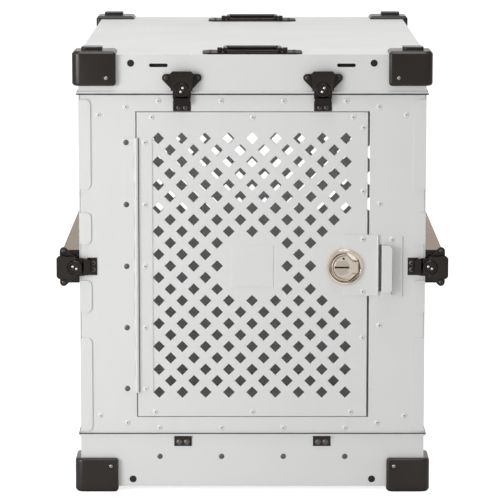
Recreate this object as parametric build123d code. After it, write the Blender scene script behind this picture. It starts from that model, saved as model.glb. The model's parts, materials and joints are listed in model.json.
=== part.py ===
"""Collapsible travel crate for a dog: riveted sheet aluminium with diamond-cut vents.

The crate stands on the caps of its base tray. X runs across the front, Y from the front to the back,
Z up, and the origin is on the floor under the middle of the crate. The door faces -Y. All sizes are in
millimetres.
"""

from build123d import *

import os
from math import cos, pi, sin

# Driving dimensions: the body of the crate
body_width = 580.0  # across the outer faces of the side walls
body_depth = 860.0  # across the outer faces of the front and back walls
tray_bottom = 8.5
tray_height = 92.5
lid_height = 67.0
wall_span = 574.0  # from the rim of the tray up to the rim of the lid
sheet = 2.0
rim_out = 3.0  # how far the rims of tray and lid stand out past the walls
rim_lip = 3.0
rim_ledge = 2.0
fit_gap = 0.4  # round the two end walls, which fold
seat_gap = 0.3  # between a wall's top and the lid, and between a flange and a folding wall

# Side walls
flange_width = 20.0
flange_corner = 5.0
flange_ends = [(104.5, 264.0), (308.0, 362.0), (424.0, 477.0), (517.0, 667.0)]
return_flange = 12.0
stiffener_inset = 12.0

# Vents
vent_diagonal = 27.4
vent_pitch = 51.3
back_vent_low = 374.5
side_vent_low = 490.0
vent_rows = 6
side_vent_rows = 3
back_vent_margin = 50.0  # plain sheet at each end of a row
side_vent_margin = 185.0

# Corner caps
cap_reach = 73.0
cap_height = 58.0
cap_out = 10.0  # past the body, to each side
cap_top = 6.0
cap_corner = 14.0
cap_arc_steps = 4
cap_rim_bevel = 4.0
nub_size = 35.0
nub_height = 6.0
nub_inset = 15.0
nub_corner = 5.0
socket_play = 1.0
socket_depth = 6.3

# Door and its opening in the front wall
hinge_post = 95.2  # from the side wall's outer face to the door opening
lock_post = 94.0
door_low = 128.0
door_high = 647.0
door_gap_left = 1.7
door_gap_right = 3.4
door_gap_level = 1.2
door_vent_diagonal = 19.7
door_vent_x = 39.2
door_vent_z = 19.6
door_vent_top = 602.0
door_vent_rows = 23
door_vent_margin = 27.0
door_vent_middle = -0.4
bare_square = 71.0  # the plain embossed square in the middle of the vents
bare_square_z = 386.5
emboss = 0.8
lock_clear_x = 51.0  # half the width and height of the oval without vents round the lock
lock_clear_z = 62.0

# Hinges
leaf_sheet = 1.5
knuckle_radius = 3.3
pin_radius = 1.6
pin_play = 0.08
pin_end = 1.0  # how far the round end of a pin stands out
knuckle_play = 0.3
door_knuckle_pitch = 25.4
door_knuckles = 17
door_hinge_low = 171.0
door_leaf_width = 26.5
frame_leaf_width = 22.0
fold_knuckle_pitch = 100.0
fold_knuckles = 4
front_fold_z = 88.0
back_fold_z = 40.0
wall_leaf_top = 118.0
front_tray_leaf = 36.0
back_tray_leaf = 26.0
hinge_sides = 8  # knuckles and grips are many-sided bars, which keeps a part with so many light

# Rotary latches: u runs from the pivot to the keeper, v across, w out of the wall
latch_x = 117.4
lid_latch_up = 9.5  # from the lid's rim to the pivot
side_latch_out = 7.5  # from the side wall to the pivot
side_latch_z = 386.0
latch_plate = 4.6
ear_u = -19.0
ear_v = 26.5
ear_radius = 6.5
plate_neck = 12.0
plate_end = 3.2
hub_radius = 11.75
hub_sides = 12
pin_sides = 6
hub_low = 7.9
hub_high = 16.0
shaft_radius = 4.0
cam_radius = 6.0
cam_offset = 5.0
claw_low = 5.0
claw_sheet = 2.5
claw_rise = 2.6
claw_half = 15.0
claw_tip_half = 12.5
claw_tip_u = 25.7
claw_bend_u = 13.0
claw_crank = 3.0
claw_corner = 2.0
claw_tail = 3.2
claw_hook_w = 4.9
keeper_u = 20.0
keeper_length = 17.0
keeper_half = 14.8
keeper_sheet = 1.2
lip_sheet = 2.0
lip_high = 4.6
wing_pivot_w = 12.6
wing_sheet = 4.0
wing_window = 12.5  # radius of the round cut-out that clears the hub when the wing folds out
wing_window_steps = 6
wing_arm_outer = 18.0
wing_heel = 2.0
wing_tip_u = -30.5
wing_tip_half = 19.5
wing_corner = 4.0
wing_edge = 1.2
wing_root_u = -13.2
wing_pin_radius = 2.3
wing_pin_inner = 9.0
cam_play = 1.3
run_gap = 0.4  # between latch parts that slide past each other
catch_top = 95.0

# Side rails
rail_z = 386.0
rail_height = 56.0
rail_out = 29.0

# Slam latch on the door
lock_in = 40.7  # from the edge of the door opening to the middle of the lock
lock_z = 385.0
bezel_radius = 31.0
bezel_height = 4.2
cup_radius = 28.0
cup_wall = 2.0
recess_radius = 25.6
recess_depth = 7.5
paddle_radius = 20.5
paddle_offset = -1.5
paddle_sheet = 3.6
paddle_tab_reach = 22.7
paddle_tab_half = 11.0
paddle_flat = 12.0
plug_radius = 13.0
plug_offset = -5.5
plug_play = 0.08
paddle_inset = 0.6  # the paddle's face behind the bezel's
key_slot = 22.0
key_slot_width = 2.6
cover_in = 43.0
cover_lap = 15.0
cover_low = 336.0
cover_high = 440.0
cover_lip = 1.5
cover_lip_out = 2.0
bolt_height = 16.0
bolt_sheet = 6.0
bolt_length = 33.0
bolt_short = 1.0  # how far the drawn bolt stays inside the edge of the opening
bolt_play = 0.3
bolt_inset = 1.0  # from the door's inner face
bolt_nose = 4.5
bolt_nose_flat = 1.5
bolt_throw = 10.0
guide_wall = 3.0
guide_tail = 12.0  # how far the bolt's guide reaches past the stored bolt
guide_end = 6.0  # from the door's edge
strike_gap = 20.7  # from the edge of the opening
strike_width = 35.1
strike_slot_gap = 1.0  # from the cover plate to the slot in the wall
strike_low = 334.0
strike_high = 437.0
strike_out = 16.0
strike_flange = 17.5
strike_flange_low = 343.0
strike_flange_high = 423.0

# Handles on the lid
handle_length = 166.0
handle_depth = 62.0
handle_sheet = 2.5
handle_corner = 10.0
grip_span = 100.0
grip_radius = 4.0
grip_sides = 10
grip_pin_radius = 2.4
grip_reach = 38.0
grip_heel = 1.4  # how far an arm runs past its pivot
front_handle_in = 34.0  # from the front wall to the middle of the plate
back_handle_in = 91.5
lug_width = 8.0
lug_half = 6.0
lug_over = 3.4
grip_pivot_in = 14.0  # from the plate's front edge
grip_overrun = 2.8  # of the bar past the middles of the arms

# Holes in tray and lid
tie_hole_radius = 6.0
tie_hole_in = 87.7  # from the side wall
tray_hole_z = 20.6
lid_hole_z = 727.5
slot_in = 133.7
slot_z = 724.0
slot_length = 31.0
slot_height = 6.0
slot_corner = 1.8

half_width = body_width / 2
half_depth = body_depth / 2
seam_low = tray_bottom + tray_height
seam_high = seam_low + wall_span
lid_top = seam_high + lid_height
wall_low = seam_low - rim_lip
wall_high = seam_high + rim_lip - seat_gap
wall_inner = half_width - sheet
end_inner = half_depth - sheet
panel_half = wall_inner - fit_gap
door_left = hinge_post - half_width
door_right = half_width - lock_post
door_vent_columns = int((door_right - door_left - 2 * door_vent_margin) / door_vent_x) + 1
back_vent_columns = int((body_width - 2 * back_vent_margin) / vent_pitch)
side_vent_columns = int((body_depth - 2 * side_vent_margin) / vent_pitch)
lid_latch_z = seam_high + lid_latch_up
side_latch_x = half_width + side_latch_out
lock_x = door_right - lock_in
cover_left = door_right - cover_in
cover_right = door_right + cover_lap
bolt_tip = door_right - bolt_short
bolt_tail = bolt_tip - bolt_length
strike_left = door_right + strike_gap
strike_right = strike_left + strike_width
front_handle_y = front_handle_in - half_depth
back_handle_y = half_depth - back_handle_in
tie_hole_x = half_width - tie_hole_in
slot_x = half_width - slot_in
far = 3000.0


def block(x, y, z):
    """A box between two limits along each axis."""
    size = [high - low for low, high in (x, y, z)]
    middle = [(low + high) / 2 for low, high in (x, y, z)]
    return Pos(*middle) * Box(*size)


def across(shape):
    """The same shape on the other side of the crate."""
    return mirror(shape, about=Plane.YZ)


def behind(shape):
    """The same shape at the other end of the crate."""
    return mirror(shape, about=Plane.XZ)


def joined(shapes):
    """Separate solids kept together as one group."""
    return Compound(children=[solid for shape in shapes for solid in shape.solids()])


def fused(shapes):
    """Touching or overlapping shapes made one solid."""
    return Part() + list(shapes)


def rod(radius, start, end):
    """A round bar between two points."""
    line = Edge.make_line(start, end)
    return extrude(Plane(start, z_dir=line % 0) * Circle(radius), amount=line.length)


def bar(radius, start, end, sides=hinge_sides):
    """A many-sided bar between two points, its corners at the radius."""
    line = Edge.make_line(start, end)
    return extrude(Plane(start, z_dir=line % 0) * RegularPolygon(radius, sides), amount=line.length)


def diamond_cuts(plane, columns, rows, diagonal, depth):
    """Cutters for square holes that stand on their corners, centred on the given columns and rows."""
    square = Rot(0, 0, 45) * Rectangle(diagonal / 2**0.5, diagonal / 2**0.5)
    spots = [Pos(u, v) * square for u, v in zip(columns, rows)]
    return [plane * extrude(spot, amount=depth / 2, both=True) for spot in spots]


def pan(height):
    """A folded sheet pan that opens upwards, with a stepped rim that the walls slip into."""
    rim = height - rim_lip
    ledge = rim - rim_ledge
    walls = block((-half_width, half_width), (-half_depth, half_depth), (0, rim))
    inner_x, inner_y = (-wall_inner, wall_inner), (-end_inner, end_inner)
    lip_x, lip_y = half_width + rim_out, half_depth + rim_out
    lip = block((-lip_x, lip_x), (-lip_y, lip_y), (ledge, height))
    lip_room_x, lip_room_y = lip_x - sheet, lip_y - sheet
    lip_room = block((-lip_room_x, lip_room_x), (-lip_room_y, lip_room_y), (rim, height))
    return walls + lip - block(inner_x, inner_y, (sheet, height)) - lip_room


def end_holes(z):
    """Cutters for the two tie holes in each end of a pan: round in front, and many-sided at the back."""
    reach = half_depth + rim_out
    fronts = [rod(tie_hole_radius, (x, -reach, z), (x, 0, z)) for x in (-tie_hole_x, tie_hole_x)]
    backs = [bar(tie_hole_radius, (x, 0, z), (x, reach, z)) for x in (-tie_hole_x, tie_hole_x)]
    return fronts + backs


def tray_floor():
    """The floor sheet, which lies between the walls of the tray."""
    return block((-wall_inner, wall_inner), (-end_inner, end_inner), (tray_bottom, tray_bottom + sheet))


def base_tray():
    """The walls of the tray that everything stands in and folds down into."""
    return Pos(0, 0, tray_bottom) * pan(tray_height) - end_holes(tray_hole_z) - tray_floor()


def lid_pan():
    """The lid, which is the same kind of pan turned over, with strap slots in both ends."""
    lid = Pos(0, 0, lid_top) * Rot(180, 0, 0) * pan(lid_height)
    reach = half_depth + rim_out
    cutters = end_holes(lid_hole_z)
    for x in (-slot_x, slot_x):
        slot = Pos(x, 0, slot_z) * Box(slot_length, 2 * reach, slot_height)
        cutters.append(chamfer(slot.edges().filter_by(Axis.Y), slot_corner))
    return lid - cutters


def side_wall():
    """The right side wall: a vented sheet whose flanges wrap round the front and back walls."""
    face = half_depth + seat_gap + sheet
    parts = [block((wall_inner, half_width), (-half_depth, half_depth), (wall_low, wall_high))]
    for low, high in flange_ends:
        flange = block((half_width - flange_width, half_width), (-face, -face + sheet), (low, high))
        corners = flange.edges().filter_by(Axis.Y).group_by(Axis.X)[0]
        flange = chamfer(corners, flange_corner)
        bend = block((wall_inner, half_width), (-face, -half_depth), (low, high))
        parts += [flange, bend, behind(flange), behind(bend)]
    wall = fused(parts)
    columns, rows = [], []
    for row in range(side_vent_rows):
        count = side_vent_columns + row % 2
        columns += [(i - (count - 1) / 2) * vent_pitch for i in range(count)]
        rows += [side_vent_low + row * vent_pitch / 2] * count
    plane = Plane((half_width, 0, 0), x_dir=(0, 1, 0), z_dir=(1, 0, 0))
    return wall - diamond_cuts(plane, columns, rows, vent_diagonal, 3 * sheet)


def side_rail():
    """The right spacer rail: a closed channel at half height that carries a latch at each end."""
    low, high = rail_z - rail_height / 2, rail_z + rail_height / 2
    shell = block((half_width, half_width + rail_out), (-half_depth, half_depth), (low, high))
    room = block((0, half_width + rail_out - sheet), (-end_inner, end_inner), (low + sheet, high - sheet))
    return shell - room


def end_wall(outer_y):
    """The plain sheet of a front or back wall, with its edges folded inwards to stiffen it."""
    inward = -1 if outer_y > 0 else 1
    inner_y = outer_y + inward * sheet
    turned_y = inner_y + inward * return_flange
    low, high = wall_low + fit_gap, wall_high
    face = block((-panel_half, panel_half), sorted((outer_y, inner_y)), (low, high))
    top = block((-panel_half, panel_half), sorted((inner_y, turned_y)), (high - sheet, high))
    side = block((panel_half - sheet, panel_half), sorted((inner_y, turned_y)),
                 (wall_leaf_top + stiffener_inset, high))
    return fused([face, top, side, across(side)])


def front_wall():
    """The front wall with its door opening, and a long slot between the lock and the strike."""
    opening = block((door_left, door_right), (-far, 0), (door_low, door_high))
    slot_x_limits = (cover_right + strike_slot_gap, strike_left)
    slot = block(slot_x_limits, (-far, 0), (strike_flange_low, strike_flange_high))
    return end_wall(-half_depth) - opening - slot


def back_wall():
    """The back wall with its band of large vents."""
    columns, rows = [], []
    for row in range(vent_rows):
        count = back_vent_columns + (row + 1) % 2
        columns += [(i - (count - 1) / 2) * vent_pitch for i in range(count)]
        rows += [back_vent_low + row * vent_pitch / 2] * count
    plane = Plane((0, half_depth, 0), x_dir=(1, 0, 0), z_dir=(0, -1, 0))
    return end_wall(half_depth) - diamond_cuts(plane, columns, rows, vent_diagonal, 3 * sheet)


def door_vents():
    """Centres of the vents in the door: all of the field except the middle and the space by the lock."""
    columns, rows = [], []
    keep_out = bare_square / 2 + door_vent_diagonal / 2
    for row in range(door_vent_rows):
        z = door_vent_top - row * door_vent_z
        count = door_vent_columns - row % 2
        for i in range(count):
            x = door_vent_middle + (i - (count - 1) / 2) * door_vent_x
            in_square = max(abs(x - door_vent_middle), abs(z - bare_square_z)) < keep_out
            near_lock = ((x - lock_x) / lock_clear_x) ** 2 + ((z - lock_z) / lock_clear_z) ** 2 < 1
            if not (in_square or near_lock):
                columns.append(x)
                rows.append(z)
    return columns, rows


def door_panel():
    """The door sheet, cut with small vents, with a plain raised square in the middle."""
    outer = -half_depth
    left, right = door_left + door_gap_left, door_right - door_gap_right
    low, high = door_low + door_gap_level, door_high - door_gap_level
    sheet_body = block((left, right), (outer, outer + sheet), (low, high))
    half = bare_square / 2
    square = block((door_vent_middle - half, door_vent_middle + half), (outer - emboss, outer),
                   (bare_square_z - half, bare_square_z + half))
    columns, rows = door_vents()
    plane = Plane((0, outer, 0), x_dir=(1, 0, 0), z_dir=(0, -1, 0))
    lock_hole = rod(cup_radius, (lock_x, outer - sheet, lock_z), (lock_x, outer + 2 * sheet, lock_z))
    cuts = diamond_cuts(plane, columns, rows, door_vent_diagonal, 3 * sheet)
    return sheet_body + square - cuts - lock_hole


def leaf(width, count, pitch, own, with_pin):
    """One leaf of a piano hinge, its pivot along Z. The plate lies on the -X side, its back a little past
    the knuckles at +Y, and every other knuckle is its own, starting with number own."""
    length = count * pitch
    back = knuckle_radius + seat_gap
    plate_y = (back - leaf_sheet, back)
    edge = back + knuckle_play
    parts = [block((-width, -edge), plate_y, (0, length))]
    for i in range(own, count, 2):
        low, high = i * pitch + knuckle_play / 2, (i + 1) * pitch - knuckle_play / 2
        parts.append(bar(knuckle_radius, (0, 0, low), (0, 0, high)))
        parts.append(block((-edge, 0), plate_y, (low, high)))
    body = fused(parts)
    if with_pin:
        pin = bar(pin_radius, (0, 0, 0), (0, 0, length))
        return body + pin + rod(pin_radius, (0, 0, -pin_end), (0, 0, 0))
    return body - bar((pin_radius + pin_play) / cos(pi / hinge_sides), (0, 0, 0), (0, 0, length))


def door_hinge_y():
    """Where the pin of the door hinge stands, just outside the front wall."""
    return -half_depth - knuckle_radius - seat_gap


def door_hinge_x():
    """Where the pin of the door hinge stands across the front."""
    return door_left + door_gap_left / 2


def door_hinge_frame_leaf():
    """The leaf on the wall, with the pin of the hinge."""
    place = Pos(door_hinge_x(), door_hinge_y(), door_hinge_low)
    return place * leaf(frame_leaf_width, door_knuckles, door_knuckle_pitch, 0, True)


def door_hinge_door_leaf():
    """The leaf on the door."""
    place = Pos(door_hinge_x(), door_hinge_y(), door_hinge_low)
    plain = leaf(door_leaf_width, door_knuckles, door_knuckle_pitch, 1, False)
    return place * mirror(plain, about=Plane.YZ)


def fold_leaf(pivot_z, width, own, with_pin, upwards):
    """A leaf of the hinge that a front wall folds on, inside the tray, its pivot along X."""
    plain = leaf(width, fold_knuckles, fold_knuckle_pitch, own, with_pin)
    if upwards:
        plain = mirror(plain, about=Plane.YZ)
    start = (-fold_knuckles * fold_knuckle_pitch / 2, -fold_axis_y(), pivot_z)
    return Plane(start, x_dir=(0, 0, 1), z_dir=(1, 0, 0)) * plain


def fold_axis_y():
    """How far the fold pivots stand from the middle of the crate."""
    return end_inner - knuckle_radius - seat_gap


def latch_place(x, y, z, towards, out):
    """The frame of one latch: u towards the keeper, w out of the wall."""
    return Plane((x, y, z), x_dir=towards, z_dir=out)


def latch_housing():
    """The base plate of a latch, with two riveted ears and a bore for the cam shaft."""
    near, low = ear_v - ear_radius / 2, ear_u - ear_radius
    half = [(plate_end, 0), (plate_end, plate_neck + shaft_radius), (ear_u + ear_radius, near + ear_radius),
            (ear_u + ear_radius / 2, ear_v + ear_radius), (low + ear_radius / 2, ear_v + ear_radius),
            (low, near + ear_radius), (low, 0)]
    outline = Polyline(half + [(u, -v) for u, v in reversed(half[1:-1])], close=True)
    bore = bar((shaft_radius + run_gap / 2) / cos(pi / hinge_sides), (0, 0, 0), (0, 0, latch_plate))
    return extrude(make_face(outline), amount=latch_plate) - bore


def latch_rotor():
    """The hub of a latch with its shaft and the cam that drives the claw."""
    shaft = bar(shaft_radius, (0, 0, run_gap), (0, 0, claw_low))
    cam = bar(cam_radius, (-cam_offset, 0, claw_low), (-cam_offset, 0, hub_low))
    hub = bar(hub_radius, (0, 0, hub_low), (0, 0, hub_high), hub_sides)
    bore_radius = (wing_pin_radius + run_gap / 2) / cos(pi / pin_sides)
    bores = [bar(bore_radius, (0, side * (wing_pin_inner - run_gap), wing_pivot_w),
                 (0, side * wing_window, wing_pivot_w), pin_sides) for side in (-1, 1)]
    return fused([shaft, cam, hub]) - bores


def latch_wing():
    """The folding wing that turns the hub, lying flat in its rest position."""
    low = wing_pivot_w - wing_sheet / 2
    half = [(wing_root_u, wing_arm_outer), (wing_tip_u + wing_corner, wing_tip_half),
            (wing_tip_u, wing_tip_half - wing_corner)]
    window = wing_window / cos(pi / 2 / wing_window_steps)
    turns = [pi * i / wing_window_steps for i in range(wing_window_steps + 1)]
    round_cut = [(-window * sin(turn), window * cos(turn)) for turn in turns]
    outline = [(wing_heel, round_cut[0][1]), (wing_heel, wing_arm_outer)] + half
    outline += [(u, -v) for u, v in reversed(half)]
    outline += [(wing_heel, -wing_arm_outer), (wing_heel, round_cut[-1][1])] + round_cut[::-1]
    plate = extrude(Pos(0, 0, low) * make_face(Polyline(outline, close=True)), amount=wing_sheet)
    plate = chamfer(plate.edges().filter_by(Axis.Y).group_by(Axis.X)[-1], wing_edge)
    pins = [bar(wing_pin_radius, (0, side * wing_pin_inner, wing_pivot_w),
                (0, side * (window + 1), wing_pivot_w), pin_sides) for side in (-1, 1)]
    return fused([plate] + pins)


def latch_claw():
    """The sliding claw, a frame round the cam whose end cranks up and hooks over the keeper."""
    tail_u = -cam_offset - cam_radius - cam_play - claw_tail
    slot_u = (-cam_offset - cam_radius - cam_play, -cam_offset + cam_radius + cam_play)
    slot_v = cam_offset + cam_radius + run_gap
    low, high = claw_low, claw_low + claw_sheet
    inner_u = claw_tip_u - claw_sheet
    profile = Polyline((tail_u, low), (claw_bend_u, low), (claw_bend_u + claw_crank, low + claw_rise),
                       (inner_u, low + claw_rise), (inner_u, claw_hook_w), (claw_tip_u, claw_hook_w),
                       (claw_tip_u, high + claw_rise), (claw_bend_u + claw_crank - 1, high + claw_rise),
                       (claw_bend_u - 1, high), (tail_u, high), close=True)
    side_view = Plane((0, 0, 0), x_dir=(1, 0, 0), z_dir=(0, -1, 0))
    claw = extrude(side_view * make_face(profile), amount=claw_half, both=True)
    half = [(tail_u, claw_half), (claw_bend_u, claw_half), (claw_tip_u - claw_corner, claw_tip_half),
            (claw_tip_u, claw_tip_half - claw_corner)]
    plan = Polyline(half + [(u, -v) for u, v in reversed(half)], close=True)
    claw = claw & extrude(make_face(plan), amount=high + claw_rise + 1)
    return claw - block(slot_u, (-slot_v, slot_v), (0, high + 1))


def latch_keeper():
    """The keeper that a claw pulls on: a small plate whose near edge stands up as a lip."""
    plate = block((keeper_u, keeper_u + keeper_length), (-keeper_half, keeper_half), (0, keeper_sheet))
    lip = block((keeper_u, keeper_u + lip_sheet), (-keeper_half, keeper_half), (0, lip_high))
    return plate + lip


front, rear, down = (0, -1, 0), (0, 1, 0), (0, 0, -1)
latches = {
    "lid_front_left": latch_place(-latch_x, -half_depth, lid_latch_z, down, front),
    "lid_front_right": latch_place(latch_x, -half_depth, lid_latch_z, down, front),
    "lid_back_left": latch_place(-latch_x, half_depth, lid_latch_z, down, rear),
    "lid_back_right": latch_place(latch_x, half_depth, lid_latch_z, down, rear),
    "side_front_left": latch_place(-side_latch_x, -half_depth, side_latch_z, (1, 0, 0), front),
    "side_front_right": latch_place(side_latch_x, -half_depth, side_latch_z, (-1, 0, 0), front),
    "side_back_left": latch_place(-side_latch_x, half_depth, side_latch_z, (1, 0, 0), rear),
    "side_back_right": latch_place(side_latch_x, half_depth, side_latch_z, (-1, 0, 0), rear),
}


def at_latches(words, shapes):
    """Copies of some shapes at every latch whose name holds all of the words."""
    places = [place for name, place in latches.items() if all(word in name for word in words)]
    return [place * shape for place in places for shape in shapes]


def corner_cap(top):
    """The cap on the front right corner, for the lid if top is true and else for the tray."""
    outer_x, outer_y = half_width + cap_out, half_depth + cap_out
    if top:
        low, high = lid_top + cap_top - cap_height, lid_top + cap_top
    else:
        low, high = 0, cap_height
    body = block((outer_x - cap_reach, outer_x), (-outer_y, cap_reach - outer_y), (low, high))
    turn = [cap_corner * (1 - sin(pi / 2 * i / cap_arc_steps)) for i in range(cap_arc_steps + 1)]
    arc = [(outer_x - across_x, along_y - outer_y) for across_x, along_y in zip(reversed(turn), turn)]
    round_corner = Polyline([(outer_x, -outer_y)] + arc, close=True)
    body -= extrude(Pos(0, 0, low) * make_face(round_corner), amount=cap_height)
    cap_face = body.faces().sort_by(Axis.Z)[-1 if top else 0]
    body = chamfer(cap_face.edges(), cap_rim_bevel)
    pan_low, pan_high = (0, lid_top) if top else (tray_bottom, far)
    body -= block((-half_width, half_width), (-half_depth, half_depth), (pan_low, pan_high))
    middle = (outer_x - nub_inset - nub_size / 2, -outer_y + nub_inset + nub_size / 2)
    side = nub_size if top else nub_size + 2 * socket_play
    height = nub_height if top else socket_depth
    nub = Pos(middle[0], middle[1], (high if top else 0) + height / 2) * Box(side, side, height)
    nub = chamfer(nub.edges().filter_by(Axis.Z), nub_corner)
    return body + nub if top else body - nub


def corner_caps(top):
    """All four caps of the lid or the tray."""
    cap = corner_cap(top)
    return joined([cap, across(cap), behind(cap), behind(across(cap))])


def catch_plates():
    """The plates that the lid's claws catch when the crate is packed down."""
    parts = []
    for place, out in ((-half_depth, front), (half_depth, rear)):
        for x in (-latch_x, latch_x):
            spot = Plane((x, place, catch_top + keeper_u), x_dir=down, z_dir=out)
            parts += [spot * latch_keeper()]
    return joined(parts)


def lock_body():
    """The fixed part of the slam latch: bezel, cup and the guide of the bolt."""
    face = -half_depth - sheet - seat_gap
    parts = [rod(bezel_radius, (lock_x, face, lock_z), (lock_x, face - bezel_height, lock_z)),
             rod(cup_radius - seat_gap, (lock_x, face, lock_z), (lock_x, face + recess_depth, lock_z))]
    guide_x = (bolt_tail - guide_tail, door_right - door_gap_right - guide_end)
    guide_y = (face + recess_depth - cup_wall, -half_depth + sheet + guide_wall + bolt_sheet)
    side = bolt_height / 2 + guide_wall
    parts.append(block(guide_x, guide_y, (lock_z - side, lock_z + side)))
    recess = rod(recess_radius, (lock_x, face - bezel_height, lock_z),
                 (lock_x, face - bezel_height + recess_depth, lock_z))
    low, high = lock_z - bolt_height / 2 - bolt_play, lock_z + bolt_height / 2 + bolt_play
    channel = block((bolt_tail - bolt_throw - 1, far), bolt_span(bolt_play), (low, high))
    return fused(parts) - recess - channel


def bolt_span(play):
    """The two faces of the bolt across the thickness of the door, with some play."""
    near = -half_depth + sheet + bolt_inset
    return near - play, near + bolt_sheet + play


def lock_bolt():
    """The sprung bolt, with a slanted nose that rides over the wall as the door shuts."""
    near, away = bolt_span(0)
    nose = Polyline((bolt_tail, near), (bolt_tip, near), (bolt_tip, near + bolt_nose_flat),
                    (bolt_tip - bolt_nose, away), (bolt_tail, away), close=True)
    face = make_face(nose)
    return Pos(0, 0, lock_z - bolt_height / 2) * extrude(face, amount=bolt_height)


def paddle_plane():
    """The back face of the paddle, seen from the front."""
    face = -half_depth - sheet - seat_gap - bezel_height
    return Plane((lock_x, face + paddle_sheet + paddle_inset, lock_z), x_dir=(1, 0, 0), z_dir=(0, -1, 0))


def lock_paddle():
    """The lifting paddle: a disc with a thumb tab to the right and a bore for the key plug."""
    disc = Pos(paddle_offset, 0) * Circle(paddle_radius)
    disc -= Pos(paddle_flat + far / 2, 0) * Rectangle(far, far)
    tab = Pos(paddle_tab_reach / 2, 0) * Rectangle(paddle_tab_reach, 2 * paddle_tab_half)
    plug_room = Pos(plug_offset, 0) * Circle(plug_radius + plug_play)
    return paddle_plane() * extrude(disc + tab - plug_room, amount=paddle_sheet)


def lock_plug():
    """The key plug in the paddle, with its key slot."""
    plug = extrude(Circle(plug_radius), amount=paddle_sheet + paddle_inset)
    slot = Pos(0, 0, paddle_sheet / 2) * extrude(Rectangle(key_slot, key_slot_width), amount=paddle_sheet)
    return paddle_plane() * Pos(plug_offset, 0) * (plug - slot)


def lock_cover_plate():
    """The plate on the door that laps over the edge of the wall and carries the latch."""
    low_y = -half_depth - seat_gap - sheet
    plate = block((cover_left, cover_right), (low_y, low_y + sheet), (cover_low, cover_high))
    lip_y = (low_y - cover_lip_out, low_y + sheet)
    lip = block((cover_right - cover_lip, cover_right), lip_y, (cover_low, cover_high))
    hole = rod(cup_radius, (lock_x, low_y - sheet, lock_z), (lock_x, low_y + 2 * sheet, lock_z))
    return plate + lip - hole


def strike_bracket():
    """The bracket on the wall beside the lock: base, upright web and a turned-out flange."""
    outer = -half_depth
    base = block((strike_left, strike_right), (outer - sheet, outer), (strike_low, strike_high))
    levels = (strike_flange_low, strike_flange_high)
    web = block((strike_left, strike_left + sheet), (outer - strike_out, outer), levels)
    flange = block((strike_left, strike_left + strike_flange),
                   (outer - strike_out, outer - strike_out + sheet), levels)
    flange = chamfer(flange.edges().filter_by(Axis.Y).group_by(Axis.X)[-1], flange_corner)
    return fused([base, web, flange])


def handle_plate(y):
    """A handle's base plate on the lid, with two lugs for its grip. The grip lies towards +Y."""
    plate = block((-handle_length / 2, handle_length / 2), (y - handle_depth / 2, y + handle_depth / 2),
                  (lid_top, lid_top + handle_sheet))
    plate = chamfer(plate.edges().filter_by(Axis.Z), handle_corner)
    lug_y, lug_z = grip_pivot(y)
    lugs = []
    for side in (-1, 1):
        x = side * (grip_span / 2 + lug_width / 2 + run_gap)
        lug = block((x - lug_width / 2, x + lug_width / 2), (lug_y - lug_half, lug_y + lug_half),
                    (lid_top, lug_z + lug_over))
        bore_radius = (grip_pin_radius + run_gap) / cos(pi / hinge_sides)
        bore = bar(bore_radius, (x - lug_width, lug_y, lug_z), (x + lug_width, lug_y, lug_z))
        lugs.append(lug - bore)
    return fused([plate] + lugs)


def grip_pivot(y):
    """The pivot of a handle's grip."""
    return y - handle_depth / 2 + grip_pivot_in, lid_top + handle_sheet + grip_radius + run_gap


def handle_grip(y):
    """A handle's grip: a bail with round ends that turn in the lugs."""
    pivot_y, pivot_z = grip_pivot(y)
    inner = grip_span / 2 - grip_radius
    far_y = pivot_y + grip_reach
    reach = inner + grip_overrun
    parts = [bar(grip_radius, (-reach, far_y, pivot_z), (reach, far_y, pivot_z), grip_sides)]
    for side in (-1, 1):
        arm_x, pin_x = side * inner, side * (grip_span / 2 + run_gap + lug_width)
        heel, end = (arm_x, pivot_y - grip_heel, pivot_z), (arm_x, far_y, pivot_z)
        parts.append(bar(grip_radius, heel, end, grip_sides))
        parts.append(bar(grip_pin_radius, (arm_x, pivot_y, pivot_z), (pin_x, pivot_y, pivot_z)))
        tip_x = pin_x + side * pin_end
        parts.append(rod(pin_radius, (pin_x, pivot_y, pivot_z), (tip_x, pivot_y, pivot_z)))
    return fused(parts)


parts = {
    "base_tray": base_tray(),
    "tray_floor": tray_floor(),
    "base_corner_caps": corner_caps(False),
    "base_catch_plates": catch_plates(),
    "side_wall_right": side_wall(),
    "side_wall_left": across(side_wall()),
    "side_rails": joined([side_rail(), across(side_rail())]),
    "side_latch_plates": joined(at_latches(["side"], [latch_housing()])),
    "front_wall": front_wall(),
    "front_keepers": joined(at_latches(["front"], [latch_keeper()])),
    "strike_bracket": strike_bracket(),
    "door_hinge_frame_leaf": door_hinge_frame_leaf(),
    "door_hinge_door_leaf": door_hinge_door_leaf(),
    "door_panel": door_panel(),
    "lock_cover_plate": lock_cover_plate(),
    "lock_body": lock_body(),
    "lock_bolt": lock_bolt(),
    "lock_paddle": lock_paddle(),
    "lock_plug": lock_plug(),
    "back_wall": back_wall(),
    "back_keepers": joined(at_latches(["back"], [latch_keeper()])),
    "front_hinge_tray_leaf": fold_leaf(front_fold_z, front_tray_leaf, 0, True, False),
    "front_hinge_wall_leaf": fold_leaf(front_fold_z, wall_leaf_top - front_fold_z, 1, False, True),
    "back_hinge_tray_leaf": behind(fold_leaf(back_fold_z, back_tray_leaf, 0, True, False)),
    "back_hinge_wall_leaf": behind(fold_leaf(back_fold_z, wall_leaf_top - back_fold_z, 1, False, True)),
    "lid_pan": lid_pan(),
    "lid_corner_caps": corner_caps(True),
    "lid_latch_plates": joined(at_latches(["lid"], [latch_housing()])),
    "lid_handle_plates": joined([handle_plate(front_handle_y), handle_plate(back_handle_y)]),
    "front_handle_grip": handle_grip(front_handle_y),
    "back_handle_grip": handle_grip(back_handle_y),
}
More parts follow.
